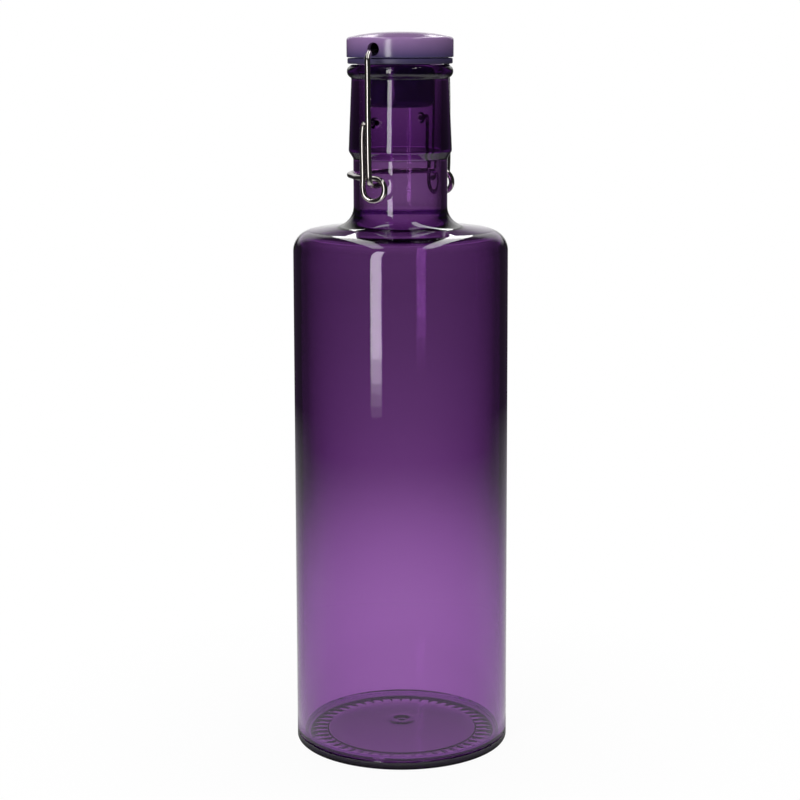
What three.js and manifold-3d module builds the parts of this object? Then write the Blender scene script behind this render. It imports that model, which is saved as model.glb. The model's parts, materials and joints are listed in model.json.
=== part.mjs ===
// Acrylic swing-top bottle: a thick clear-walled bottle with a bent-wire closure.
// Millimetres, +Z up, origin at the centre of the base. The lever pivots lie along Y,
// and the lever's handle rests against the neck on the -X side.
import * as THREE from 'three';
import { mergeVertices } from 'three/addons/utils/BufferGeometryUtils.js';
import Module from 'manifold-3d';

const wasm = await Module();
wasm.setup();

// Driving dimensions: bottle shell
const BODY_RADIUS = 45.6;
const BODY_DRAFT = 0.6;
const BODY_WALL = 3;
const SHOULDER_HEIGHT = 223.7;
const SHOULDER_FALL = 3.5;
const SHOULDER_ROUND = 8.5;
const NECK_RADIUS = 19.6;
const NECK_FILLET = 8.5;
const NECK_LENGTH = 27.3;
const BORE_RADIUS = 17.2;
const COLLAR_CHAMFER = 3;
const COLLAR_BOTTOM_RADIUS = 21.5;
const COLLAR_TOP_RADIUS = 20.2;
const COLLAR_LENGTH = 29.7;
const BEAD_OVERHANG = 1.8;
const BEAD_HEIGHT = 5.7;
const MOUTH_ROUND = 0.8;

// Driving dimensions: base disc
const BASE_BAND = 3.6;
const BASE_EDGE_ROUND = 1.2;
const BASE_SPIGOT = 3;
const BASE_SPIGOT_WALL = 4;
const BASE_FLOOR = 2.4;
const BASE_RECESS = 1.6;
const FOOT_RING_WIDTH = 4.4;
const RIB_COUNT = 40;
const RIB_LENGTH = 5.5;
const RIB_WIDTH = 1.2;
const RIB_HEIGHT = 0.8;
const RIB_INSET = 1.2;
const PIP_RADIUS = 1.5;
const PIP_HEIGHT = 0.6;

// Driving dimensions: stopper
const GASKET_SETBACK = 0.4;
const GASKET_THICKNESS = 2.3;
const GASKET_EDGE_ROUND = 0.5;
const CAP_RADIUS = 22.1;
const CAP_WALL = 2.2;
const CAP_SIDE = 8.3;
const CAP_DOME = 2;
const CAP_EDGE_ROUND = 1.5;
const CROSS_HOLE_RADIUS = 2.7;
const CROSS_HOLE_HEIGHT = 3.4;
const PLUG_FLANGE = 0.9;
const PLUG_STEM_RADIUS = 12.4;
const PLUG_RADIUS = 14.4;
const PLUG_TIP_RADIUS = 11;
const PLUG_DEPTH = 17.6;
const PLUG_BULGE = 8.5;

// Driving dimensions: wires
const WIRE_RADIUS = 1.2;
const WIRE_SIDES = 8;
const WIRE_STEP = 1.4;
const PIVOT_DROP = 23.2;
const DIMPLE_DEPTH = 2.2;
const DIMPLE_FLARE = 0.9;
const ARM_STANDOFF = 9;
const ARM_BEND = 2.6;
const FOOT_DROP = 24.7;
const FOOT_REACH = 5;
const EYE_INNER_RADIUS = 3.25;
const LEG_BEND = 3;
const LEG_LEAN = 0.45;
const LEG_SHOULDER = 5.5;

// Clearance between neighbours that fit or turn on each other
const FIT = 0.3;
const ROUND_SEGMENTS = 48;
const ARC_STEPS = 3;
const HALF_TURN = Math.PI;
const QUARTER_TURN = Math.PI / 2;

// Heights worked out from the dimensions above
const neckTop = SHOULDER_HEIGHT + NECK_LENGTH;
const collarBottom = neckTop + COLLAR_CHAMFER;
const beadTube = BEAD_HEIGHT / 2;
const beadCentre = collarBottom + COLLAR_LENGTH + beadTube;
const rimTop = beadCentre + beadTube;
const gasketBottom = rimTop + FIT;
const gasketTop = gasketBottom + GASKET_THICKNESS;
const capBottom = gasketTop + FIT;
const capSideTop = capBottom + CAP_SIDE;
const capTop = capSideTop + CAP_DOME;
const crossHoleHeight = capBottom + CROSS_HOLE_HEIGHT;
const pinHeight = crossHoleHeight - (CROSS_HOLE_RADIUS - WIRE_RADIUS - FIT);
const pivotHeight = rimTop - PIVOT_DROP;
const footHeight = pivotHeight - FOOT_DROP;
const eyeHeight = footHeight - (EYE_INNER_RADIUS - WIRE_RADIUS - FIT);

// Distances from the bottle's axis
const neckWall = NECK_RADIUS - BORE_RADIUS;
const bodyBore = BODY_RADIUS - BODY_WALL;
const beadCentreRadius = COLLAR_TOP_RADIUS + BEAD_OVERHANG - beadTube;
const eyeRadius = EYE_INNER_RADIUS + WIRE_RADIUS;
const footOffset = eyeRadius;
const wirePitch = 2 * WIRE_RADIUS + FIT;
const armPlane = COLLAR_BOTTOM_RADIUS + ARM_STANDOFF;
const legPlane = armPlane + wirePitch;
const handlePlane = armPlane - wirePitch;
const handleRadius = NECK_RADIUS + WIRE_RADIUS + FIT;

function collarRadiusAt(height) {
  const share = (height - collarBottom) / COLLAR_LENGTH;
  return THREE.MathUtils.lerp(COLLAR_BOTTOM_RADIUS, COLLAR_TOP_RADIUS, share);
}

// Shared shape helpers

function revolve(profile, segments = ROUND_SEGMENTS) {
  const geometry = new THREE.LatheGeometry(profile.getPoints(ARC_STEPS), segments);
  return geometry.rotateX(QUARTER_TURN);
}

function toSolid(geometry) {
  const bare = geometry.clone();
  bare.deleteAttribute('normal');
  bare.deleteAttribute('uv');
  const merged = mergeVertices(bare, 1e-4);
  const index = merged.index.array;
  const triangles = [];
  for (let i = 0; i < index.length; i += 3) {
    const [a, b, c] = [index[i], index[i + 1], index[i + 2]];
    if (a !== b && b !== c && c !== a) triangles.push(a, b, c);
  }
  return new wasm.Manifold(new wasm.Mesh({
    numProp: 3,
    vertProperties: new Float32Array(merged.attributes.position.array),
    triVerts: new Uint32Array(triangles),
  }));
}

function toGeometry(solid) {
  const mesh = solid.getMesh();
  const geometry = new THREE.BufferGeometry();
  geometry.setAttribute('position', new THREE.BufferAttribute(mesh.vertProperties, 3));
  geometry.setIndex(new THREE.BufferAttribute(mesh.triVerts, 1));
  geometry.computeVertexNormals();
  return geometry;
}

// A round wire along a smooth curve through the given points
function bendWire(points) {
  const route = new THREE.CatmullRomCurve3(points, false, 'centripetal');
  const section = [];
  for (let i = 0; i < WIRE_SIDES; i++) {
    const angle = (2 * HALF_TURN * i) / WIRE_SIDES;
    section.push(new THREE.Vector2(WIRE_RADIUS * Math.cos(angle), WIRE_RADIUS * Math.sin(angle)));
  }
  return new THREE.ExtrudeGeometry(new THREE.Shape(section), {
    steps: Math.round(route.getLength() / WIRE_STEP),
    extrudePath: route,
    bevelEnabled: false,
  });
}

// One half of a wire from its +Y end inward, joined to its mirror image in -Y
function mirrorHalf(half) {
  const other = half.map((point) => new THREE.Vector3(point.x, -point.y, point.z));
  const meets = half[half.length - 1].y === 0;
  return [...half, ...other.reverse().slice(meets ? 1 : 0)];
}

// Bottle shell: a tube with a rounded, gently falling shoulder, a stepped neck and a rolled rim
function bottleShell() {
  const profile = new THREE.Path();
  const shellBottom = BASE_BAND + FIT;
  const shoulderRadius = BODY_RADIUS - BODY_DRAFT;
  const slope = Math.atan2(SHOULDER_FALL, shoulderRadius - NECK_RADIUS);
  const shoulderFacing = QUARTER_TURN - slope;
  const cornerRadius = shoulderRadius - SHOULDER_ROUND;
  const cornerFall = Math.tan(slope) * (cornerRadius - NECK_RADIUS);
  const cornerHeight = SHOULDER_HEIGHT - cornerFall - SHOULDER_ROUND / Math.cos(slope);
  const innerRound = SHOULDER_ROUND - BODY_WALL;
  const innerCornerHeight = cornerHeight + (BODY_WALL - neckWall) / Math.cos(slope);
  const filletRadius = NECK_RADIUS + NECK_FILLET;
  const filletRise = NECK_FILLET / Math.cos(slope) - Math.tan(slope) * NECK_FILLET;
  const filletHeight = SHOULDER_HEIGHT + filletRise;
  const filletFoot = HALF_TURN + shoulderFacing;
  const beadStart = -Math.acos((COLLAR_TOP_RADIUS - beadCentreRadius) / beadTube);
  profile.moveTo(BODY_RADIUS, shellBottom);
  profile.lineTo(shoulderRadius, cornerHeight);
  profile.absarc(cornerRadius, cornerHeight, SHOULDER_ROUND, 0, shoulderFacing, false);
  profile.absarc(filletRadius, filletHeight, NECK_FILLET, filletFoot, HALF_TURN, true);
  profile.lineTo(NECK_RADIUS, neckTop);
  profile.lineTo(COLLAR_BOTTOM_RADIUS, collarBottom);
  profile.absarc(beadCentreRadius, beadCentre, beadTube, beadStart, QUARTER_TURN, false);
  profile.absarc(BORE_RADIUS + MOUTH_ROUND, rimTop - MOUTH_ROUND, MOUTH_ROUND, QUARTER_TURN, HALF_TURN, false);
  profile.absarc(filletRadius, filletHeight, NECK_FILLET + neckWall, HALF_TURN, filletFoot, false);
  profile.absarc(cornerRadius, innerCornerHeight, innerRound, shoulderFacing, 0, true);
  profile.lineTo(bodyBore, shellBottom);
  profile.lineTo(BODY_RADIUS, shellBottom);
  let solid = toSolid(revolve(profile));
  for (const side of [1, -1]) solid = solid.subtract(toSolid(pivotDimple(side)));
  return toGeometry(solid);
}

// Blind flared dimple in the collar that takes one end of the lever wire
function pivotDimple(side) {
  const seat = WIRE_RADIUS + FIT;
  const outside = 2 * DIMPLE_DEPTH;
  const flare = (DIMPLE_FLARE * outside) / DIMPLE_DEPTH;
  const floor = collarRadiusAt(pivotHeight) - DIMPLE_DEPTH;
  const dimple = new THREE.CylinderGeometry(seat + flare, seat, outside, 24);
  dimple.translate(0, floor + outside / 2, 0);
  if (side < 0) dimple.rotateX(HALF_TURN);
  return dimple.translate(0, 0, pivotHeight);
}

// Base disc: a visible band under the shell, a spigot inside it, and a ribbed recess below
function baseDisc() {
  const profile = new THREE.Path();
  const spigotRadius = bodyBore - FIT;
  const footInner = BODY_RADIUS - BASE_EDGE_ROUND - FOOT_RING_WIDTH;
  const floorTop = BASE_RECESS + BASE_FLOOR;
  const spigotTop = BASE_BAND + BASE_SPIGOT;
  profile.moveTo(0, BASE_RECESS);
  profile.lineTo(footInner - BASE_RECESS, BASE_RECESS);
  profile.lineTo(footInner, 0);
  profile.absarc(BODY_RADIUS - BASE_EDGE_ROUND, BASE_EDGE_ROUND, BASE_EDGE_ROUND, -QUARTER_TURN, 0, false);
  profile.lineTo(BODY_RADIUS, BASE_BAND);
  profile.lineTo(spigotRadius, BASE_BAND);
  profile.lineTo(spigotRadius, spigotTop);
  profile.lineTo(spigotRadius - BASE_SPIGOT_WALL, floorTop);
  profile.lineTo(0, floorTop);
  let solid = toSolid(revolve(profile));
  const ribOuter = footInner - BASE_RECESS - RIB_INSET;
  for (let i = 0; i < RIB_COUNT; i++) {
    const rib = new THREE.BoxGeometry(RIB_LENGTH, RIB_WIDTH, 2 * RIB_HEIGHT);
    rib.translate(ribOuter - RIB_LENGTH / 2, 0, BASE_RECESS);
    rib.rotateZ((2 * HALF_TURN * i) / RIB_COUNT);
    solid = solid.add(toSolid(rib));
  }
  const pip = new THREE.CylinderGeometry(PIP_RADIUS, PIP_RADIUS / 2, 2 * PIP_HEIGHT, 16);
  pip.rotateX(QUARTER_TURN).translate(0, 0, BASE_RECESS);
  return toGeometry(solid.add(toSolid(pip)));
}

// Cap: a hollow moulded shell, low-domed on top, with a cross hole for the bail
function cap() {
  const profile = new THREE.Path();
  const inner = CAP_RADIUS - CAP_WALL;
  const rounded = CAP_RADIUS - CAP_EDGE_ROUND;
  profile.moveTo(0, capSideTop - CAP_WALL + CAP_DOME);
  profile.quadraticCurveTo(inner / 2, capSideTop - CAP_WALL + CAP_DOME, inner, capSideTop - CAP_WALL);
  profile.lineTo(inner, capBottom);
  profile.lineTo(CAP_RADIUS, capBottom);
  profile.absarc(rounded, capSideTop - CAP_EDGE_ROUND, CAP_EDGE_ROUND, 0, QUARTER_TURN, false);
  profile.quadraticCurveTo(rounded / 2, capTop, 0, capTop);
  const hole = new THREE.CylinderGeometry(CROSS_HOLE_RADIUS, CROSS_HOLE_RADIUS, 3 * CAP_RADIUS, 24);
  hole.translate(0, 0, crossHoleHeight);
  return toGeometry(toSolid(revolve(profile)).subtract(toSolid(hole)));
}

// Stopper plug: a flange inside the cap, a stem through the gasket and a rounded bung
function stopperPlug() {
  const profile = new THREE.Path();
  const flangeRadius = CAP_RADIUS - CAP_WALL - FIT;
  const tip = rimTop - PLUG_DEPTH;
  const bulge = tip + PLUG_BULGE;
  const shoulder = gasketBottom - FIT;
  profile.moveTo(0, tip);
  profile.lineTo(PLUG_TIP_RADIUS, tip);
  profile.quadraticCurveTo(PLUG_RADIUS, tip, PLUG_RADIUS, bulge);
  profile.quadraticCurveTo(PLUG_RADIUS, shoulder, PLUG_STEM_RADIUS, shoulder);
  profile.lineTo(PLUG_STEM_RADIUS, capBottom);
  profile.lineTo(flangeRadius, capBottom);
  profile.lineTo(flangeRadius, capBottom + PLUG_FLANGE);
  profile.lineTo(0, capBottom + PLUG_FLANGE);
  return revolve(profile);
}

// Gasket: a soft ring between the cap and the rim
function capGasket() {
  const profile = new THREE.Path();
  const bore = PLUG_STEM_RADIUS + FIT;
  const rounded = CAP_RADIUS - GASKET_SETBACK - GASKET_EDGE_ROUND;
  profile.moveTo(bore, gasketBottom);
  profile.lineTo(rounded, gasketBottom);
  profile.absarc(rounded, gasketBottom + GASKET_EDGE_ROUND, GASKET_EDGE_ROUND, -QUARTER_TURN, 0, false);
  profile.absarc(rounded, gasketTop - GASKET_EDGE_ROUND, GASKET_EDGE_ROUND, 0, QUARTER_TURN, false);
  profile.lineTo(bore, gasketTop);
  profile.lineTo(bore, gasketBottom);
  return revolve(profile);
}

// Locking lever: pivot ends, arms, one coil eye a side, and a handle curved round the neck
function lockingLever() {
  const pinTip = collarRadiusAt(pivotHeight) - DIMPLE_DEPTH + FIT;
  const half = [
    new THREE.Vector3(0, pinTip, pivotHeight),
    new THREE.Vector3(0, armPlane - 2 * ARM_BEND, pivotHeight),
  ];
  for (const share of [0, 0.5, 1]) {
    const angle = share * QUARTER_TURN;
    const along = armPlane - ARM_BEND + ARM_BEND * Math.sin(angle);
    const height = pivotHeight - ARM_BEND + ARM_BEND * Math.cos(angle);
    half.push(new THREE.Vector3(0, along, height));
  }
  half.push(new THREE.Vector3(footOffset - eyeRadius, armPlane, eyeHeight + eyeRadius));
  const coilSteps = 9;
  const coilTurn = 3 * QUARTER_TURN;
  for (let i = 0; i <= coilSteps; i++) {
    const share = i / coilSteps;
    const angle = HALF_TURN + coilTurn * share;
    half.push(new THREE.Vector3(
      footOffset + eyeRadius * Math.cos(angle),
      THREE.MathUtils.lerp(armPlane, handlePlane, share),
      eyeHeight + eyeRadius * Math.sin(angle),
    ));
  }
  // The handle leaves the eye's top strand on the tangent line to the neck circle
  const handleHeight = eyeHeight + eyeRadius;
  half.push(new THREE.Vector3(footOffset - eyeRadius, handlePlane, handleHeight));
  const touch = Math.acos(handleRadius / (handlePlane + WIRE_RADIUS));
  const arcPoints = 7;
  for (let i = 0; i <= arcPoints; i++) {
    const angle = THREE.MathUtils.lerp(touch, QUARTER_TURN, i / arcPoints);
    const along = i < arcPoints ? handleRadius * Math.cos(angle) : 0;
    half.push(new THREE.Vector3(-handleRadius * Math.sin(angle), along, handleHeight));
  }
  return bendWire(mirrorHalf(half));
}

// Cap bail: a cross pin through the cap, two legs outside the lever arms, and two inturned feet
function capBail() {
  const footEnd = armPlane - FOOT_REACH;
  const legTop = footOffset - LEG_LEAN;
  const outside = CAP_RADIUS + WIRE_RADIUS;
  const half = [
    new THREE.Vector3(footOffset, footEnd, footHeight),
    new THREE.Vector3(footOffset, legPlane - LEG_BEND, footHeight),
  ];
  for (const share of [0.5, 1]) {
    const angle = share * QUARTER_TURN;
    const along = legPlane - LEG_BEND + LEG_BEND * Math.sin(angle);
    const height = footHeight + LEG_BEND - LEG_BEND * Math.cos(angle);
    half.push(new THREE.Vector3(footOffset, along, height));
  }
  half.push(
    new THREE.Vector3(legTop, legPlane, pinHeight - LEG_SHOULDER),
    new THREE.Vector3(legTop * 0.92, legPlane - 0.08 * LEG_SHOULDER, pinHeight - LEG_SHOULDER / 2),
    new THREE.Vector3(legTop * 0.6, (outside + legPlane) / 2 + WIRE_RADIUS, pinHeight - WIRE_RADIUS / 2),
    new THREE.Vector3(0, outside, pinHeight),
    new THREE.Vector3(0, CAP_RADIUS / 2, pinHeight),
    new THREE.Vector3(0, 0, pinHeight),
  );
  return bendWire(mirrorHalf(half));
}

// Finishes
const acrylic = { color: 0x7d4a91, roughness: 0.05, metalness: 0, transparent: true, opacity: 0.55 };
const lilac = { color: 0xb79ac4, roughness: 0.25, metalness: 0 };
const rubber = { color: 0x4b4468, roughness: 0.6, metalness: 0 };
const steel = { color: 0xc9c7c4, roughness: 0.2, metalness: 1 };

const group = new THREE.Group();

function addPiece(name, geometry, finish) {
  const mesh = new THREE.Mesh(geometry, new THREE.MeshStandardMaterial(finish));
  mesh.name = name;
  group.add(mesh);
}

addPiece('bottle_shell', bottleShell(), acrylic);
addPiece('base_disc', baseDisc(), acrylic);
addPiece('locking_lever', lockingLever(), steel);
addPiece('cap_bail', capBail(), steel);
addPiece('cap', cap(), lilac);
addPiece('stopper_plug', stopperPlug(), lilac);
addPiece('cap_gasket', capGasket(), rubber);

export default group;
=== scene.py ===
# %% [markdown]
# # A swing-top bottle in tinted acrylic
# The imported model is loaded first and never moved. It gives the size and the place of every piece,
# so the finer pieces below are modelled straight on top of it, in metres, with +Z up.

# %% Load the frame
import json
import math
import bmesh
import bpy
from mathutils import Matrix, Vector


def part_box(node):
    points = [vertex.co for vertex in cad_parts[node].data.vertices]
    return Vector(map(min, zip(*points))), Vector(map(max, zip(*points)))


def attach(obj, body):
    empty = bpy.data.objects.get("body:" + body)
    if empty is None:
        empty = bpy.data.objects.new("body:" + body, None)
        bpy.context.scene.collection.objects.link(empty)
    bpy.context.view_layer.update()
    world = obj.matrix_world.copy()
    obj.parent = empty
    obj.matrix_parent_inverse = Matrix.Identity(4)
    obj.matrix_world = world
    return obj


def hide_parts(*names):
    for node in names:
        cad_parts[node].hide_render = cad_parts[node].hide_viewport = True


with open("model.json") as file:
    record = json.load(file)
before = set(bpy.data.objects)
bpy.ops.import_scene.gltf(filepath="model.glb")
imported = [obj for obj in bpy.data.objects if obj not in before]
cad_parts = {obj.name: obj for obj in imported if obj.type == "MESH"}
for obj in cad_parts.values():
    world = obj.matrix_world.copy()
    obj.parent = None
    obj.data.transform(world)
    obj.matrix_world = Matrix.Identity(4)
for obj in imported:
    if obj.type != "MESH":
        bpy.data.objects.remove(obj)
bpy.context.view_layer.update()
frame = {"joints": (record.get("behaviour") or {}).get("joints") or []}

MM = 0.001

# %% [markdown]
# A few helpers serve every step. Colours are written as sRGB hex, and one function turns them to
# linear. Another adds a shader node. The rest make meshes: they draw arcs, spin a profile round the
# bottle's axis, as a mould or a lathe would, cut or join two meshes, and hand a piece to its body.

# %% Helpers
FIT = 0.3 * MM
MERGE_DISTANCE = 1e-6
SPIN_STEPS = 160
SUPPORT = 1.2 * MM
SHARP_ANGLE = math.radians(30)
SOFTEN_ANGLE = math.radians(24)


def linear(hex_colour):
    """Turns an sRGB hex colour into a linear RGBA tuple."""
    channels = [int(hex_colour[i:i + 2], 16) / 255 for i in (1, 3, 5)]
    return tuple(c / 12.92 if c <= 0.04045 else ((c + 0.055) / 1.055) ** 2.4 for c in channels) + (1.0,)


def add(tree, kind, inputs=None, **settings):
    """Adds a shader node, with its settings, values and links."""
    node = tree.nodes.new(kind)
    for key, value in settings.items():
        setattr(node, key, value)
    for socket, value in (inputs or {}).items():
        if isinstance(value, bpy.types.NodeSocket):
            tree.links.new(value, node.inputs[socket])
        else:
            node.inputs[socket].default_value = value
    return node


def arc(centre, radius, start, end, steps=10):
    """Points of a round stretch of a profile, as (distance from the axis, height)."""
    angles = [math.radians(start + (end - start) * i / steps) for i in range(steps + 1)]
    return [(centre[0] + radius * math.cos(a), centre[1] + radius * math.sin(a)) for a in angles]


def finish_mesh(bm, name, sharp=SHARP_ANGLE):
    """Turns a bmesh into a smooth-shaded object at the origin."""
    bmesh.ops.remove_doubles(bm, verts=bm.verts, dist=MERGE_DISTANCE)
    bmesh.ops.recalc_face_normals(bm, faces=bm.faces)
    mesh = bpy.data.meshes.new(name)
    bm.to_mesh(mesh)
    bm.free()
    mesh.shade_smooth()
    mesh.set_sharp_from_angle(angle=sharp)
    piece = bpy.data.objects.new(name, mesh)
    bpy.context.scene.collection.objects.link(piece)
    return piece


def supported(profile, closed):
    """Adds points near both ends of long straight stretches, which keeps smooth shading true on them."""
    ends = profile[1:] + profile[:1] if closed else profile[1:]
    points = []
    for start, end in zip(profile, ends):
        points.append(start)
        length = math.dist(start, end)
        if length > 4 * SUPPORT:
            for share in (SUPPORT / length, 1 - SUPPORT / length):
                points.append(tuple(a + (b - a) * share for a, b in zip(start, end)))
    return points if closed else points + profile[-1:]


def spun(profile, closed=False, soften=0.0):
    """Spins a profile of (radius, height) points round Z, and softens its sharp edges."""
    bm = bmesh.new()
    verts = [bm.verts.new((r, 0, z)) for r, z in supported(profile, closed)]
    pairs = list(zip(verts, verts[1:]))
    if closed:
        pairs.append((verts[-1], verts[0]))
    edges = [bm.edges.new(pair) for pair in pairs]
    bmesh.ops.spin(bm, geom=verts + edges, cent=(0, 0, 0), axis=(0, 0, 1), dvec=(0, 0, 0),
                   angle=2 * math.pi, steps=SPIN_STEPS, use_merge=True, use_duplicate=False)
    bmesh.ops.remove_doubles(bm, verts=bm.verts, dist=MERGE_DISTANCE)
    bmesh.ops.recalc_face_normals(bm, faces=bm.faces)
    if soften:
        sharp = [e for e in bm.edges if e.is_manifold and e.calc_face_angle() > SOFTEN_ANGLE]
        bmesh.ops.bevel(bm, geom=sharp, offset=soften, offset_type="OFFSET", affect="EDGES",
                        segments=3, profile=0.5, material=-1)
    return bm


def combine(piece, other, operation):
    """Cuts or joins another object into a piece, and removes the other."""
    modifier = piece.modifiers.new(operation, "BOOLEAN")
    modifier.operation = operation
    modifier.solver = "EXACT"
    modifier.object = other
    graph = bpy.context.evaluated_depsgraph_get()
    mesh = bpy.data.meshes.new_from_object(piece.evaluated_get(graph))
    piece.modifiers.clear()
    piece.data = mesh
    mesh.shade_smooth()
    mesh.set_sharp_from_angle(angle=SHARP_ANGLE)
    bpy.data.objects.remove(other)


def place(piece, body, node, material):
    """Gives a piece its finish, its body and the frame's node that it stands for."""
    piece.data.materials.clear()
    piece.data.materials.append(material)
    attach(piece, body)
    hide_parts(node)
    low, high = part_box(node)
    print(piece.name, "faces", len(piece.data.polygons), "node height mm",
          round(low[2] / MM, 1), round(high[2] / MM, 1))


# %% [markdown]
# The camera stands level with the cap and looks down, so that the base shows as an ellipse.
# It is turned round the bottle until the near wire lies left of the middle and the far eye shows
# at the right edge of the neck. A long lens keeps the sides nearly upright.

# %% Camera
CAMERA_AZIMUTH = math.radians(29.5)
CAMERA_DISTANCE = 0.815
CAMERA_HEIGHT = 0.302
CAMERA_TILT = math.radians(10.66)
CAMERA_ROLL = math.radians(0.15)
CAMERA_SENSOR_MM = 36
CAMERA_LENS_MM = 87.7
camera_data = bpy.data.cameras.new("camera")
camera_data.sensor_width = CAMERA_SENSOR_MM
camera_data.lens = CAMERA_LENS_MM
camera = bpy.data.objects.new("camera", camera_data)
camera.location = (
    CAMERA_DISTANCE * math.sin(CAMERA_AZIMUTH),
    -CAMERA_DISTANCE * math.cos(CAMERA_AZIMUTH),
    CAMERA_HEIGHT,
)
camera.rotation_euler = (math.pi / 2 - CAMERA_TILT, CAMERA_ROLL, CAMERA_AZIMUTH)
bpy.context.scene.collection.objects.link(camera)
bpy.context.scene.camera = camera
print("camera at", tuple(round(c, 3) for c in camera.location))

# %% [markdown]
# The bottle and its base are moulded acrylic (PMMA), dyed purple right through. Its index is 1.49.
# Dye darkens light by the distance it travels in the wall, so an absorbing volume carries the tint:
# two body walls take most of the green, and edges, where light runs along the wall, go darkest.

# %% Acrylic
ACRYLIC_INDEX = 1.49
DYE_COLOUR = "#bc55cd"
DYE_PER_METRE = 480.0


def dyed_acrylic():
    """Clear acrylic, dyed right through, with slightly wavy walls."""
    material = bpy.data.materials.new("dyed_acrylic")
    material.use_nodes = True
    tree = material.node_tree
    tree.nodes.clear()
    coords = add(tree, "ShaderNodeTexCoord")
    # Moulded walls wave by about a hundredth of a millimetre, over about a centimetre
    wave = add(tree, "ShaderNodeTexNoise", {
        "Vector": coords.outputs["Object"], "Scale": 1 / (14 * MM), "Detail": 1.0})
    bump = add(tree, "ShaderNodeBump", {
        "Height": wave.outputs["Fac"], "Strength": 0.05, "Distance": 0.2 * MM})
    skin = add(tree, "ShaderNodeBsdfPrincipled", {
        "Base Color": linear("#ffffff"), "Roughness": 0.015, "IOR": ACRYLIC_INDEX,
        "Transmission Weight": 1.0, "Normal": bump.outputs["Normal"]})
    dye = add(tree, "ShaderNodeVolumeAbsorption", {
        "Color": linear(DYE_COLOUR), "Density": DYE_PER_METRE})
    add(tree, "ShaderNodeOutputMaterial", {
        "Surface": skin.outputs["BSDF"], "Volume": dye.outputs["Volume"]})
    return material


acrylic = dyed_acrylic()
print("made", acrylic.name)

# %% [markdown]
# The shell is one thick moulding: a body with a little draft, a shoulder that falls gently to a round
# edge, a lower neck, a tapered collar and a rolled rim, with a straight bore. Spinning its half section
# gives both walls at once. Inside, the foot of the neck turns more tightly than outside, so the wall is
# thick there and shows as a dark ring. Two flared dimples are then cut in the collar for the lever wire.

# %% Bottle shell
shell_low, shell_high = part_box("bottle_shell")
body_radius = shell_high[0]
body_wall = 3 * MM
body_bore = body_radius - body_wall
body_draft = 0.6 * MM
shoulder_radius = body_radius - body_draft
shoulder = 223.7 * MM
shoulder_fall = 3.5 * MM
shoulder_round = 8.5 * MM
neck_radius = 19.6 * MM
bore_radius = 17.2 * MM
neck_wall = neck_radius - bore_radius
neck_fillet = 8.5 * MM
throat_round = 5 * MM
collar_bottom = 254 * MM
collar_chamfer = 3 * MM
collar_radius = 21.5 * MM
collar_top_radius = 20.2 * MM
collar_length = 29.7 * MM
rim_top = shell_high[2]
bead_tube = 2.85 * MM
bead_overhang = 1.8 * MM
bead_centre = (collar_top_radius + bead_overhang - bead_tube, rim_top - bead_tube)
mouth_round = 0.8 * MM
shell_soften = 0.5 * MM

slope = math.atan2(shoulder_fall, shoulder_radius - neck_radius)
facing = 90 - math.degrees(slope)
corner = shoulder_radius - shoulder_round
corner_height = shoulder - math.tan(slope) * (corner - neck_radius) - shoulder_round / math.cos(slope)
inner_round = shoulder_round - body_wall
inner_height = corner_height + (body_wall - neck_wall) / math.cos(slope)
fillet_rise = neck_fillet / math.cos(slope) - math.tan(slope) * neck_fillet
fillet_centre = (neck_radius + neck_fillet, shoulder + fillet_rise)
throat = bore_radius + throat_round
throat_drop = math.tan(slope) * (throat - neck_radius) + (neck_wall - throat_round) / math.cos(slope)
bead_start = -math.degrees(math.acos((collar_top_radius - bead_centre[0]) / bead_tube))
shell_profile = [(body_radius, shell_low[2])]
shell_profile += arc((corner, corner_height), shoulder_round, 0, facing, 16)
shell_profile += arc(fillet_centre, neck_fillet, 180 + facing, 180, 12)
shell_profile += [(neck_radius, collar_bottom - collar_chamfer), (collar_radius, collar_bottom)]
shell_profile += arc(bead_centre, bead_tube, bead_start, 90, 14)
shell_profile += arc((bore_radius + mouth_round, rim_top - mouth_round), mouth_round, 90, 180, 5)
shell_profile += arc((throat, shoulder - throat_drop), throat_round, 180, 180 + facing, 12)
shell_profile += arc((corner, inner_height), inner_round, facing, 0, 12)
shell_profile += [(body_bore, shell_low[2])]
shell = finish_mesh(spun(shell_profile, closed=True, soften=shell_soften), "bottle_shell_clear")

pivot = Vector(next(j["pos_m"] for j in frame["joints"] if j["name"] == "lever_hinge"))
wire_radius = 1.2 * MM
dimple_depth = 2.2 * MM
dimple_flare = 1.8 * MM
pivot_share = (pivot.z - collar_bottom) / collar_length
pivot_face = collar_radius + (collar_top_radius - collar_radius) * pivot_share
dimple_floor = pivot_face - dimple_depth
for side in (1, -1):
    bm = bmesh.new()
    bmesh.ops.create_cone(bm, cap_ends=True, segments=32, radius1=wire_radius + FIT,
                          radius2=wire_radius + FIT + dimple_flare, depth=2 * dimple_depth)
    lay_down = Matrix.Rotation(-side * math.pi / 2, 4, "X")
    bmesh.ops.transform(bm, matrix=lay_down, verts=bm.verts)
    bmesh.ops.translate(bm, verts=bm.verts, vec=(0, side * (dimple_floor + dimple_depth), pivot.z))
    combine(shell, finish_mesh(bm, "dimple"), "DIFFERENCE")
place(shell, "bottle", "bottle_shell", acrylic)

# %% [markdown]
# The base is a separate disc, joined into the foot of the shell: its band shows below the joint
# line. Its middle is pushed up a little, so that the bottle stands on the foot, and a ring of short
# moulded ribs lies between the two. The gate mark is a small crater on the inside. One tapered rib is
# spun into the whole ring, then joined to the disc.

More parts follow.
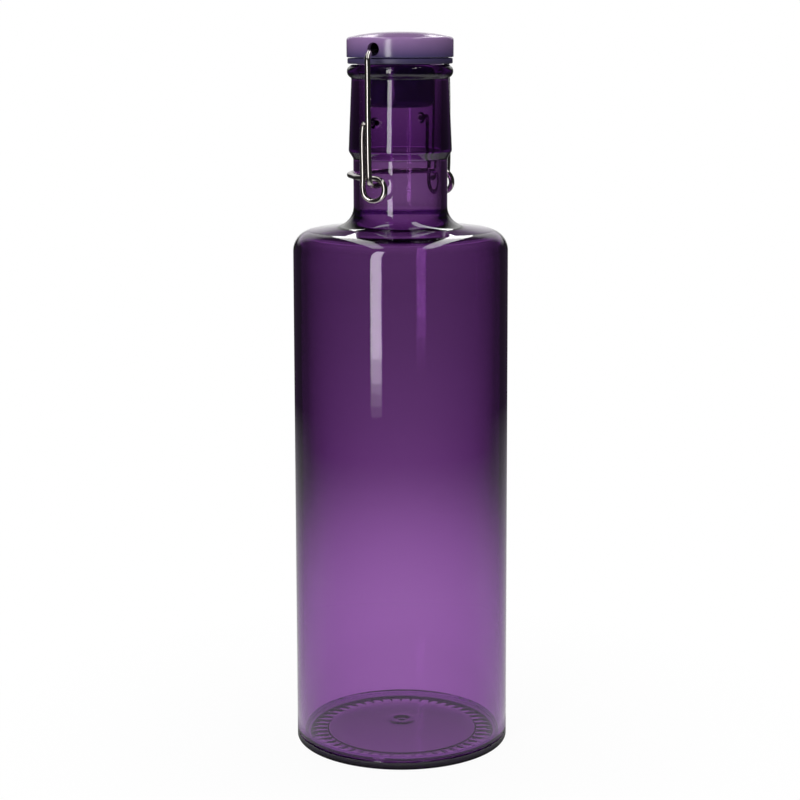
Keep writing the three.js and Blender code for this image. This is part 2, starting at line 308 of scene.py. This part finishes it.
# %% Base disc
base_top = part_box("base_disc")[1][2]
band = 3.6 * MM
edge_round = 1.2 * MM
recess = 1.6 * MM
floor_thickness = 2.4 * MM
floor_top = recess + floor_thickness
spigot_radius = body_bore - FIT
spigot_wall = 1.2 * MM
foot_width = 4.4 * MM
foot_inner = body_radius - edge_round - foot_width
middle_radius = 32 * MM
middle_step = 0.5 * MM
push_up = 2.6 * MM
foot_slope = 2.8 * MM
spigot_drop = 1.0 * MM
spigot_top = base_top - spigot_drop
base_soften = 0.3 * MM
rib_count = 48
rib_size = Vector((7.4, 1.5, 2.4)) * MM
rib_taper = 0.3
rib_bevel = 0.15 * MM
rib_gap = 0.1 * MM
rib_middle = foot_inner - rib_gap - rib_size.x / 2

bulge_steps = 8
bulge = [(i / bulge_steps, push_up * (1 - (i / bulge_steps) ** 2)) for i in range(bulge_steps + 1)]
base_profile = [(middle_radius * share, recess - middle_step + rise) for share, rise in bulge]
base_profile += [(middle_radius + middle_step, recess), (foot_inner - foot_slope, recess), (foot_inner, 0)]
base_profile += arc((body_radius - edge_round, edge_round), edge_round, 270, 360, 8)
base_profile += [(body_radius, band), (spigot_radius, band), (spigot_radius, spigot_top)]
base_profile.append((spigot_radius - spigot_wall, floor_top))
# On the inside, the gate mark takes the place of the two innermost points: radius and rise in mm
base_profile += [(middle_radius * share, floor_top + rise) for share, rise in reversed(bulge[2:])]
gate_mark = [(5.8, 0), (4.6, 0.25), (3.2, 0.1), (2.0, -0.25), (1.2, -0.1), (0.6, 0.1), (0, 0.15)]
base_profile += [(r * MM, floor_top + push_up + rise * MM) for r, rise in gate_mark]
base = finish_mesh(spun(base_profile, soften=base_soften), "base_disc_clear")

bm = bmesh.new()
bmesh.ops.create_cube(bm, size=1)
bmesh.ops.scale(bm, vec=rib_size, verts=bm.verts)
bmesh.ops.scale(bm, vec=(1, rib_taper, 1), verts=[v for v in bm.verts if v.co.z < 0])
bmesh.ops.bevel(bm, geom=bm.edges[:], offset=rib_bevel, offset_type="OFFSET", affect="EDGES",
                segments=2, profile=0.5, material=-1)
bmesh.ops.translate(bm, verts=bm.verts, vec=(rib_middle, 0, recess))
rib_geometry = bm.verts[:] + bm.edges[:] + bm.faces[:]
bmesh.ops.spin(bm, geom=rib_geometry, cent=(0, 0, 0), axis=(0, 0, 1), dvec=(0, 0, 0),
               angle=2 * math.pi * (rib_count - 1) / rib_count, steps=rib_count - 1, use_duplicate=True)
combine(base, finish_mesh(bm, "ribs"), "UNION")
place(base, "bottle", "base_disc", acrylic)

# %% [markdown]
# The cap is moulded in opaque lilac plastic with a satin gloss. A plug in the same plastic fills
# the mouth below it, and a soft slate-purple ring between them seals on the rim. Plastic like this
# has an index near 1.5, and its colour drifts a little with the flow in the mould. Shade is painted
# into the colour as well: each piece is painted dark at the bottom and pale at the top.

# %% Stopper finishes
cap_low, cap_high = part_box("cap")


def plastic_with_painted_shade(name, painted_dark_colour, painted_pale_colour, low, high, roughness):
    """Opaque plastic with painted shade, dark at the bottom and pale at the top of its height, and a faint
    moulded grain.
    """
    material = bpy.data.materials.new(name)
    material.use_nodes = True
    tree = material.node_tree
    tree.nodes.clear()
    coords = add(tree, "ShaderNodeTexCoord")
    height = add(tree, "ShaderNodeSeparateXYZ", {"Vector": coords.outputs["Object"]})
    share = add(tree, "ShaderNodeMapRange", {
        "Value": height.outputs["Z"], "From Min": low, "From Max": high})
    # Painted shade: the colour runs from the dark low colour at the bottom to the pale high colour at the top
    ramp = add(tree, "ShaderNodeValToRGB", {"Fac": share.outputs["Result"]})
    ramp.color_ramp.elements[0].color = linear(painted_dark_colour)
    ramp.color_ramp.elements[1].color = linear(painted_pale_colour)
    flow = add(tree, "ShaderNodeTexNoise", {
        "Vector": coords.outputs["Object"], "Scale": 1 / (9 * MM), "Detail": 3.0})
    drift_value = add(tree, "ShaderNodeMapRange", {
        "Value": flow.outputs["Fac"], "To Min": 0.95, "To Max": 1.05})
    drift = add(tree, "ShaderNodeHueSaturation", {
        "Color": ramp.outputs["Color"], "Value": drift_value.outputs["Result"]})
    # Mould grain is about 0.1 mm; it is drawn at 0.4 mm so that it shows in the render
    grain = add(tree, "ShaderNodeTexNoise", {
        "Vector": coords.outputs["Object"], "Scale": 1 / (0.4 * MM), "Detail": 2.0})
    bump = add(tree, "ShaderNodeBump", {
        "Height": grain.outputs["Fac"], "Strength": 0.06, "Distance": 0.05 * MM})
    skin = add(tree, "ShaderNodeBsdfPrincipled", {
        "Base Color": drift.outputs["Color"], "Roughness": roughness, "IOR": 1.5,
        "Normal": bump.outputs["Normal"]})
    add(tree, "ShaderNodeOutputMaterial", {"Surface": skin.outputs["BSDF"]})
    return material


# The cap is painted from dark slate at its foot to pale lilac on the dome: painted shade and painted light
lilac = plastic_with_painted_shade("lilac_plastic", "#443c66", "#a781b5", cap_low[2], cap_high[2], 0.16)
gasket_low, gasket_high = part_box("cap_gasket")
# The gasket is also painted a little darker at the bottom and paler at the top
silicone = plastic_with_painted_shade("slate_silicone", "#352e4c", "#453c64", gasket_low[2], gasket_high[2], 0.45)
print("made", lilac.name, silicone.name)

# %% [markdown]
# Cap, plug and gasket are all turned forms, so each is a spun section. The cap is a hollow shell
# with a low dome; its cross hole is cut afterwards, and the hole's rim is left crisp.

# %% Cap, plug and gasket
cap_radius = cap_high[0]
cap_wall = 2.2 * MM
cap_inner = cap_radius - cap_wall
cap_edge = 1.5 * MM
cap_side = 8.3 * MM
cap_side_top = cap_low[2] + cap_side
cap_soften = 0.4 * MM
dome_rise = cap_high[2] - cap_side_top
dome_span = cap_radius - cap_edge
dome_power = 2.5
cap_profile = [(0, cap_high[2] - cap_wall), (cap_inner, cap_side_top - cap_wall)]
cap_profile += [(cap_inner, cap_low[2]), (cap_radius, cap_low[2])]
cap_profile += arc((dome_span, cap_side_top - cap_edge), cap_edge, 0, 90, 6)
for share in (0.9, 0.8, 0.7, 0.6, 0.5, 0.4, 0.3, 0.15, 0):
    cap_profile.append((dome_span * share, cap_high[2] - dome_rise * share ** dome_power))
cap = finish_mesh(spun(cap_profile, soften=cap_soften), "cap_lilac")
hole_radius = 2.7 * MM
hole_rise = 3.4 * MM
hole_height = cap_low[2] + hole_rise
bm = bmesh.new()
bmesh.ops.create_cone(bm, cap_ends=True, segments=40, radius1=hole_radius, radius2=hole_radius,
                      depth=3 * cap_radius)
bmesh.ops.rotate(bm, cent=(0, 0, 0), matrix=Matrix.Rotation(math.pi / 2, 3, "X"), verts=bm.verts)
bmesh.ops.translate(bm, verts=bm.verts, vec=(0, 0, hole_height))
combine(cap, finish_mesh(bm, "cross_hole"), "DIFFERENCE")
place(cap, "stopper", "cap", lilac)

plug_low, plug_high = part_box("stopper_plug")
plug_radius = 14.4 * MM
plug_tip = 11 * MM
stem_radius = 12.4 * MM
plug_tip_round = plug_radius - plug_tip
plug_top = rim_top
plug_top_round = plug_radius - stem_radius
plug_soften = 0.2 * MM
plug_profile = [(0, plug_low[2])]
plug_profile += arc((plug_tip, plug_low[2] + plug_tip_round), plug_tip_round, 270, 360)
plug_profile += arc((stem_radius, plug_top - plug_top_round), plug_top_round, 0, 90, 6)
plug_profile += [(stem_radius, cap_low[2]), (plug_high[0], cap_low[2])]
plug_profile += [(plug_high[0], plug_high[2]), (0, plug_high[2])]
plug = finish_mesh(spun(plug_profile, soften=plug_soften), "stopper_plug_lilac")
# Below the cap, the plug takes the dark end of the painted shade
place(plug, "stopper", "stopper_plug", lilac)

gasket_radius = gasket_high[0]
gasket_round = 0.5 * MM
gasket_corner = gasket_radius - gasket_round
gasket_profile = [(stem_radius + FIT, gasket_low[2])]
gasket_profile += arc((gasket_corner, gasket_low[2] + gasket_round), gasket_round, 270, 360, 5)
gasket_profile += arc((gasket_corner, gasket_high[2] - gasket_round), gasket_round, 0, 90, 5)
gasket_profile += [(stem_radius + FIT, gasket_high[2])]
gasket = finish_mesh(spun(gasket_profile, closed=True), "cap_gasket_ring")
place(gasket, "stopper", "cap_gasket", silicone)

# %% [markdown]
# Both wires are bright drawn steel, 2.4 mm thick. Drawing leaves fine scratches along the wire,
# so the finish is a polished metal with a little uneven roughness.

# %% Drawn steel


def drawn_steel():
    """Bright wire with fine die marks."""
    material = bpy.data.materials.new("drawn_steel_wire")
    material.use_nodes = True
    tree = material.node_tree
    tree.nodes.clear()
    coords = add(tree, "ShaderNodeTexCoord")
    # Die marks are finer than 0.05 mm; they are drawn 0.3 mm apart so that they show
    marks = add(tree, "ShaderNodeTexNoise", {
        "Vector": coords.outputs["Object"], "Scale": 1 / (0.3 * MM), "Detail": 3.0})
    rough = add(tree, "ShaderNodeMapRange", {
        "Value": marks.outputs["Fac"], "To Min": 0.06, "To Max": 0.16})
    tone = add(tree, "ShaderNodeValToRGB", {"Fac": marks.outputs["Fac"]})
    tone.color_ramp.elements[0].color = linear("#a5a09d")
    tone.color_ramp.elements[1].color = linear("#c2bdb9")
    bump = add(tree, "ShaderNodeBump", {
        "Height": marks.outputs["Fac"], "Strength": 0.08, "Distance": 0.03 * MM})
    skin = add(tree, "ShaderNodeBsdfPrincipled", {
        "Base Color": tone.outputs["Color"], "Metallic": 1.0,
        "Roughness": rough.outputs["Result"], "Normal": bump.outputs["Normal"]})
    add(tree, "ShaderNodeOutputMaterial", {"Surface": skin.outputs["BSDF"]})
    return material


steel = drawn_steel()
print("made", steel.name)

# %% [markdown]
# A bent wire is easiest as a curve through its bends, given a round section and then made a mesh.
# Only one half is listed, from the pivot end or the foot, and the other half is its mirror image.

# %% Wire helper
WIRE_SHARP_ANGLE = math.radians(50)


def bent_wire(name, half):
    """A round wire through half a route on +Y, which ends at the middle, and its mirror image on -Y."""
    route = half + [Vector((p.x, -p.y, p.z)) for p in reversed(half[:-1])]
    curve = bpy.data.curves.new(name, "CURVE")
    curve.dimensions = "3D"
    curve.bevel_depth = wire_radius
    curve.bevel_resolution = 5
    curve.resolution_u = 8
    curve.use_fill_caps = True
    spline = curve.splines.new("BEZIER")
    spline.bezier_points.add(len(route) - 1)
    for point, place_at in zip(spline.bezier_points, route):
        point.co = place_at
        point.handle_left_type = "AUTO"
        point.handle_right_type = "AUTO"
    drawn = bpy.data.objects.new(name, curve)
    bpy.context.scene.collection.objects.link(drawn)
    graph = bpy.context.evaluated_depsgraph_get()
    bm = bmesh.new()
    bm.from_mesh(bpy.data.meshes.new_from_object(drawn.evaluated_get(graph)))
    bpy.data.objects.remove(drawn)
    return finish_mesh(bm, name, sharp=WIRE_SHARP_ANGLE)


# %% [markdown]
# The locking lever starts in the two dimples, runs down beside the neck, makes three quarters of a turn
# as an open eye on each side, and joins both eyes in a handle that lies round the back of the neck. The
# cap bail runs through the cap and down outside the lever, and its feet hook through the eyes.

# %% Lever and bail
arm_gap = 9 * MM
arm_plane = collar_radius + arm_gap
wire_pitch = 2 * wire_radius + FIT
leg_plane = arm_plane + wire_pitch
handle_plane = arm_plane - wire_pitch
handle_radius = neck_radius + wire_radius + FIT
foot = Vector(next(j["pos_m"] for j in frame["joints"] if j["name"] == "bail_hinge"))
pin = Vector(next(j["pos_m"] for j in frame["joints"] if j["name"] == "cap_hinge"))
eye_inner = 3.25 * MM
eye_radius = eye_inner + wire_radius
eye_height = foot.z - (eye_inner - wire_radius - FIT)
arm_bend = 2.6 * MM

lever_half = [Vector((0, dimple_floor + FIT, pivot.z)), Vector((0, arm_plane - 2 * arm_bend, pivot.z))]
for share in (0, 0.5, 1):
    angle = share * math.pi / 2
    along = arm_plane - arm_bend + arm_bend * math.sin(angle)
    lever_half.append(Vector((0, along, pivot.z - arm_bend + arm_bend * math.cos(angle))))
lever_half.append(Vector((foot.x - eye_radius, arm_plane, eye_height + eye_radius)))
coil_turn = 1.5 * math.pi
coil_steps = 9
for i in range(coil_steps + 1):
    share = i / coil_steps
    angle = math.pi + coil_turn * share
    lever_half.append(Vector((
        foot.x + eye_radius * math.cos(angle),
        arm_plane + (handle_plane - arm_plane) * share,
        eye_height + eye_radius * math.sin(angle),
    )))
handle_height = eye_height + eye_radius
lever_half.append(Vector((foot.x - eye_radius, handle_plane, handle_height)))
touch = math.acos(handle_radius / (handle_plane + wire_radius))
arc_points = 7
for i in range(arc_points + 1):
    angle = touch + (math.pi / 2 - touch) * i / arc_points
    along = handle_radius * math.cos(angle) if i < arc_points else 0
    lever_half.append(Vector((-handle_radius * math.sin(angle), along, handle_height)))
lever = bent_wire("locking_lever_wire", lever_half)
place(lever, "lever", "locking_lever", steel)

leg_bend = 3 * MM
leg_lean = 0.45 * MM
leg_top = foot.x - leg_lean
leg_shoulder = 5.5 * MM
foot_reach = 5 * MM
cap_outside = cap_radius + wire_radius
bail_half = [Vector((foot.x, arm_plane - foot_reach, foot.z)), Vector((foot.x, leg_plane - leg_bend, foot.z))]
for share in (0.5, 1):
    angle = share * math.pi / 2
    along = leg_plane - leg_bend + leg_bend * math.sin(angle)
    bail_half.append(Vector((foot.x, along, foot.z + leg_bend - leg_bend * math.cos(angle))))
# The shoulder leans over to the pin in two points, given as shares of the leg's top and the shoulder
bail_half += [
    Vector((leg_top, leg_plane, pin.z - leg_shoulder)),
    Vector((leg_top * 0.92, leg_plane - 0.08 * leg_shoulder, pin.z - leg_shoulder / 2)),
    Vector((leg_top * 0.6, (cap_outside + leg_plane) / 2 + wire_radius, pin.z - wire_radius / 2)),
    Vector((0, cap_outside, pin.z)),
    Vector((0, cap_radius / 2, pin.z)),
    Vector((0, 0, pin.z)),
]
bail = bent_wire("cap_bail_wire", bail_half)
place(bail, "bail", "cap_bail", steel)

# %% [markdown]
# The stage is plain white to the camera. Clear acrylic has little look of its own, so what it sees
# matters most. Through its walls it sees a lit pool of white floor, which fades into a dim room with a
# pale backdrop low behind the bottle: the foot glows and the upper half stays deep. Its outside mirrors
# the floor close by, which darkens within a metre, and a narrow pale lane straight behind, which draws
# the pale rims with dark edges inside them. Two pale panels far behind light the foot of the neck.

# %% Stage helpers
CAMERA_SIDE = Vector((math.sin(CAMERA_AZIMUTH), -math.cos(CAMERA_AZIMUTH), 0))
CAMERA_RIGHT = Vector((math.cos(CAMERA_AZIMUTH), math.sin(CAMERA_AZIMUTH), 0))
WHITE = linear("#ffffff")
scene = bpy.context.scene
scene.view_settings.view_transform = "Standard"


def seen_in_object(tree):
    """The light path node, and 1 for rays mirrored by the object or passing through it, else 0."""
    path = add(tree, "ShaderNodeLightPath")
    both = add(tree, "ShaderNodeMath", {
        0: path.outputs["Is Glossy Ray"], 1: path.outputs["Is Transmission Ray"]}, operation="MAXIMUM")
    return path, both.outputs["Value"]


def grey_steps(ramp, steps):
    """Sets a ramp to the given (position, grey level) steps."""
    elements = ramp.color_ramp.elements
    while len(elements) < len(steps):
        elements.new(0.5)
    for element, (position, level) in zip(elements, steps):
        element.position = position
        element.color = (level, level, level, 1.0)


# %% [markdown]
# The surroundings are drawn by direction: how far a ray looks up, how far it looks towards the camera's
# side, and how far it looks to the camera's left or right. All three run from -1 to 1.

# %% Surroundings
AMBIENT_LEVEL = 0.28
DARK_LEVEL = 0.03


def backdrop_seen_through(tree, height, behind):
    """A pale backdrop low behind the bottle, in a dim room."""
    rise = add(tree, "ShaderNodeMapRange", {
        "Value": height, "From Min": -0.03, "From Max": 0.04, "To Min": 0.0, "To Max": 1.0})
    fall = add(tree, "ShaderNodeMapRange", {
        "Value": height, "From Min": 0.10, "From Max": 0.24, "To Min": 1.0, "To Max": 0.1})
    low_band = add(tree, "ShaderNodeMath", {
        0: rise.outputs["Result"], 1: fall.outputs["Result"]}, operation="MULTIPLY")
    backdrop = add(tree, "ShaderNodeMath", {
        0: low_band.outputs["Value"], 1: behind}, operation="MULTIPLY")
    room = add(tree, "ShaderNodeMapRange", {
        "Value": backdrop.outputs["Value"], "To Min": 0.06, "To Max": 0.75})
    return room.outputs["Result"]


def panels_mirrored(tree, toward, height, facing_camera, behind):
    """A narrow pale lane straight behind the bottle and a pale panel on each side of it, else dark."""
    lane = add(tree, "ShaderNodeMapRange", {
        "Value": facing_camera, "From Min": -1.0, "From Max": -0.95, "To Min": 1.0, "To Max": 0.0})
    haze = add(tree, "ShaderNodeMapRange", {
        "Value": height, "From Min": 0.18, "From Max": 0.32, "To Min": 1.0, "To Max": 0.05})
    middle = add(tree, "ShaderNodeMath", {
        0: haze.outputs["Result"], 1: lane.outputs["Result"]}, operation="MULTIPLY")
    along_right = add(tree, "ShaderNodeVectorMath", {0: toward, 1: CAMERA_RIGHT}, operation="DOT_PRODUCT")
    aside = add(tree, "ShaderNodeMath", {0: along_right.outputs["Value"]}, operation="ABSOLUTE")
    panels = add(tree, "ShaderNodeValToRGB", {"Fac": aside.outputs["Value"]})
    grey_steps(panels, [(0.06, 0.0), (0.14, 1.0), (0.4, 1.0), (0.6, 0.0)])
    raised = add(tree, "ShaderNodeValToRGB", {"Fac": height})
    grey_steps(raised, [(0.08, 0.0), (0.16, 1.0), (0.45, 1.0), (0.6, 0.0)])
    far_panels = add(tree, "ShaderNodeMath", {
        0: panels.outputs["Color"], 1: behind}, operation="MULTIPLY")
    flats = add(tree, "ShaderNodeMath", {
        0: far_panels.outputs["Value"], 1: raised.outputs["Color"], 2: DARK_LEVEL}, operation="MULTIPLY_ADD")
    lit = add(tree, "ShaderNodeMath", {
        0: middle.outputs["Value"], 1: flats.outputs["Value"]}, operation="MAXIMUM")
    return lit.outputs["Value"]


def studio_world():
    """White to the camera, shaded to the object, and an even dim light to all else."""
    world = bpy.data.worlds.new("studio")
    world.use_nodes = True
    tree = world.node_tree
    tree.nodes.clear()
    path, in_object = seen_in_object(tree)
    coords = add(tree, "ShaderNodeTexCoord")
    toward = coords.outputs["Generated"]
    up = add(tree, "ShaderNodeSeparateXYZ", {"Vector": toward})
    facing_camera = add(tree, "ShaderNodeVectorMath", {0: toward, 1: CAMERA_SIDE}, operation="DOT_PRODUCT")
    behind = add(tree, "ShaderNodeMapRange", {
        "Value": facing_camera.outputs["Value"], "From Min": -1.0, "From Max": -0.5,
        "To Min": 1.0, "To Max": 0.0})
    backdrop = backdrop_seen_through(tree, up.outputs["Z"], behind.outputs["Result"])
    panels = panels_mirrored(
        tree, toward, up.outputs["Z"], facing_camera.outputs["Value"], behind.outputs["Result"])
    shown = add(tree, "ShaderNodeMix", {
        "Factor": path.outputs["Is Transmission Ray"], "A": panels, "B": backdrop}, data_type="FLOAT")
    unseen = add(tree, "ShaderNodeMix", {
        "Factor": in_object, "A": AMBIENT_LEVEL, "B": shown.outputs["Result"]}, data_type="FLOAT")
    strength = add(tree, "ShaderNodeMix", {
        "Factor": path.outputs["Is Camera Ray"], "A": unseen.outputs["Result"], "B": 1.0}, data_type="FLOAT")
    sky = add(tree, "ShaderNodeBackground", {"Color": WHITE, "Strength": strength.outputs["Result"]})
    add(tree, "ShaderNodeOutputWorld", {"Surface": sky.outputs["Background"]})
    return world


scene.world = studio_world()
print("made", scene.world.name)

# %% [markdown]
# The floor is drawn by the distance from the bottle's axis, in metres, and by the side it lies on: -1 is
# straight behind the bottle and 1 is towards the camera.

# %% Floor
FLOOR_HALF = 6
FLOOR_GAP = 0.02 * MM
POOL_REACH = 0.08
ROOM_REACH = 3.0


def floor_seen_through(tree, away, facing_camera):
    """A lit pool of floor round the bottle, with a painted shadow under the base, which fades into a dim
    floor with a pale strip behind.
    """
    sideways = add(tree, "ShaderNodeMapRange", {"Value": facing_camera, "From Min": -1.0, "From Max": 0.0})
    behind = add(tree, "ShaderNodeValToRGB", {"Fac": sideways.outputs["Result"]})
    grey_steps(behind, [(0.0, 1.0), (0.04, 0.45), (0.12, 0.2), (0.45, 0.15), (0.8, 0.6), (1.0, 0.6)])
    reach = add(tree, "ShaderNodeMapRange", {"Value": away, "From Max": ROOM_REACH})
    fading = add(tree, "ShaderNodeValToRGB", {"Fac": reach.outputs["Result"]})
    grey_steps(fading, [(0.11, 0.69), (0.163, 0.58), (0.233, 0.47), (0.35, 0.38), (0.5, 0.33), (1.0, 0.41)])
    far = add(tree, "ShaderNodeMath", {
        0: behind.outputs["Color"], 1: fading.outputs["Color"]}, operation="MULTIPLY")
    close = add(tree, "ShaderNodeMapRange", {"Value": away, "From Max": POOL_REACH})
    # Painted shadow: the pool glows less under the middle of the base, where the bottle shades the floor
    near = add(tree, "ShaderNodeValToRGB", {"Fac": close.outputs["Result"]})
    grey_steps(near, [(0.0, 0.64), (0.38, 0.68), (0.44, 1.0), (0.57, 1.0), (0.82, 1.12)])
    pool = add(tree, "ShaderNodeMapRange", {
        "Value": away, "From Min": 0.15, "From Max": 0.55,
        "To Min": near.outputs["Color"], "To Max": far.outputs["Value"]}, interpolation_type="SMOOTHSTEP")
    return pool.outputs["Result"]


def floor_mirrored(tree, away, facing_camera):
    """Floor that darkens away from the bottle, with a pale lane far behind and a painted shadow ring at the
    foot.
    """
    back_floor = add(tree, "ShaderNodeMapRange", {
        "Value": away, "From Min": 0.12, "From Max": 0.8, "To Min": 0.66, "To Max": 0.03})
    front_floor = add(tree, "ShaderNodeMapRange", {
        "Value": away, "From Min": 0.3, "From Max": 0.65, "To Min": 1.05, "To Max": 0.04})
    all_round = add(tree, "ShaderNodeMapRange", {
        "Value": facing_camera, "From Min": -0.55, "From Max": 0.0,
        "To Min": back_floor.outputs["Result"], "To Max": front_floor.outputs["Result"]})
    back_lane = add(tree, "ShaderNodeMapRange", {
        "Value": facing_camera, "From Min": -1.0, "From Max": -0.96, "To Min": 0.9, "To Max": 0.0})
    back_rise = add(tree, "ShaderNodeMapRange", {"Value": away, "From Min": 0.8, "From Max": ROOM_REACH})
    far_lane = add(tree, "ShaderNodeMath", {
        0: back_lane.outputs["Result"], 1: back_rise.outputs["Result"]}, operation="MULTIPLY")
    lit = add(tree, "ShaderNodeMath", {
        0: all_round.outputs["Result"], 1: far_lane.outputs["Value"]}, operation="MAXIMUM")
    # Painted shadow: the floor's glow drops to a tenth in a ring round the foot
    painted_foot_shadow = add(tree, "ShaderNodeMapRange", {
        "Value": away, "From Min": 0.046, "From Max": 0.06, "To Min": 0.1, "To Max": 1.0})
    mirrored = add(tree, "ShaderNodeMath", {
        0: lit.outputs["Value"], 1: painted_foot_shadow.outputs["Result"]}, operation="MULTIPLY")
    return mirrored.outputs["Value"]


def white_floor():
    """White to the camera, shaded to the object, and matt white to all other light."""
    paint = bpy.data.materials.new("white_floor")
    paint.use_nodes = True
    tree = paint.node_tree
    tree.nodes.clear()
    path, in_object = seen_in_object(tree)
    coords = add(tree, "ShaderNodeTexCoord")
    spot = coords.outputs["Object"]
    away = add(tree, "ShaderNodeVectorMath", {0: spot}, operation="LENGTH")
    outward = add(tree, "ShaderNodeVectorMath", {0: spot}, operation="NORMALIZE")
    facing_camera = add(tree, "ShaderNodeVectorMath", {
        0: outward.outputs["Vector"], 1: CAMERA_SIDE}, operation="DOT_PRODUCT")
    pool = floor_seen_through(tree, away.outputs["Value"], facing_camera.outputs["Value"])
    mirrored = floor_mirrored(tree, away.outputs["Value"], facing_camera.outputs["Value"])
    shown = add(tree, "ShaderNodeMix", {
        "Factor": path.outputs["Is Transmission Ray"], "A": mirrored, "B": pool}, data_type="FLOAT")
    strength = add(tree, "ShaderNodeMix", {
        "Factor": in_object, "A": 1.0, "B": shown.outputs["Result"]}, data_type="FLOAT")
    glow = add(tree, "ShaderNodeEmission", {"Color": WHITE, "Strength": strength.outputs["Result"]})
    matt = add(tree, "ShaderNodeBsdfDiffuse", {"Color": linear("#f4f3f5")})
    # Near the foot a little of the matt floor shows, and with it the bottle's shadow
    shade = add(tree, "ShaderNodeMapRange", {
        "Value": away.outputs["Value"], "From Min": 0.06, "From Max": 0.20, "To Min": 0.95, "To Max": 1.0})
    seen = add(tree, "ShaderNodeMath", {
        0: in_object, 1: path.outputs["Is Camera Ray"]}, operation="MAXIMUM")
    share = add(tree, "ShaderNodeMath", {
        0: seen.outputs["Value"], 1: shade.outputs["Result"]}, operation="MULTIPLY")
    mixed = add(tree, "ShaderNodeMixShader", {
        0: share.outputs["Value"], 1: matt.outputs["BSDF"], 2: glow.outputs["Emission"]})
    add(tree, "ShaderNodeOutputMaterial", {"Surface": mixed.outputs["Shader"]})
    return paint


bm = bmesh.new()
bmesh.ops.create_grid(bm, x_segments=1, y_segments=1, size=FLOOR_HALF)
floor = finish_mesh(bm, "floor")
floor.data.materials.append(white_floor())
floor.location.z = -FLOOR_GAP

# %% [markdown]
# One tall soft light left of the camera draws the streak, and two overhead ones draw the glints on the
# shoulder. The foot of the tall light fades out in short steps. Lamps are placed as the camera sees
# them: metres to the right of the bottle, metres behind it, and height.

# %% Lights
STRIP_RIGHT = -0.299
STRIP_BACK = -0.632
STRIP_WIDTH = 0.14
STRIP_WATTS_PER_METRE = 3.46
OVERHEAD_BACK = 1.05
OVERHEAD_HEIGHT = 1.02
OVERHEAD_SIZE = (0.15, 2.8)


def soft_light(name, right, back, height, size, watts, upright=True, turn=0):
    """A rectangular soft light, facing the bottle, or facing straight down and turned by some degrees."""
    data = bpy.data.lights.new(name, "AREA")
    data.shape = "RECTANGLE"
    data.size, data.size_y = size
    data.energy = watts
    lamp = bpy.data.objects.new(name, data)
    lamp.location = Matrix.Rotation(CAMERA_AZIMUTH, 3, "Z") @ Vector((right, back, height))
    if upright:
        aim = Vector((0, 0, height)) - lamp.location
        lamp.rotation_euler = aim.to_track_quat("-Z", "Y").to_euler()
    else:
        lamp.rotation_euler.z = CAMERA_AZIMUTH + math.radians(turn)
    # An overhead lamp is mirrored by the object, but isn't seen through it
    lamp.visible_transmission = upright
    scene.collection.objects.link(lamp)
    print(name, "at", tuple(round(c, 2) for c in lamp.location))


# Lowest point, highest point and share of full strength
strip_steps = [
    (0.068, 0.91, 1.0),
    (0.050, 0.068, 0.62),
    (0.041, 0.050, 0.34),
    (0.032, 0.041, 0.2),
    (0.024, 0.032, 0.09),
]
for step, (low, high, share) in enumerate(strip_steps):
    size = (STRIP_WIDTH, high - low)
    watts = STRIP_WATTS_PER_METRE * (high - low) * share
    soft_light("strip_left_%d" % step, STRIP_RIGHT, STRIP_BACK, (low + high) / 2, size, watts)
for name, right, watts, turn in (("overhead_left", -0.222, 5.0, -2), ("overhead_right", 0.262, 7.0, 2.7)):
    soft_light(name, right, OVERHEAD_BACK, OVERHEAD_HEIGHT, OVERHEAD_SIZE, watts, upright=False, turn=turn)
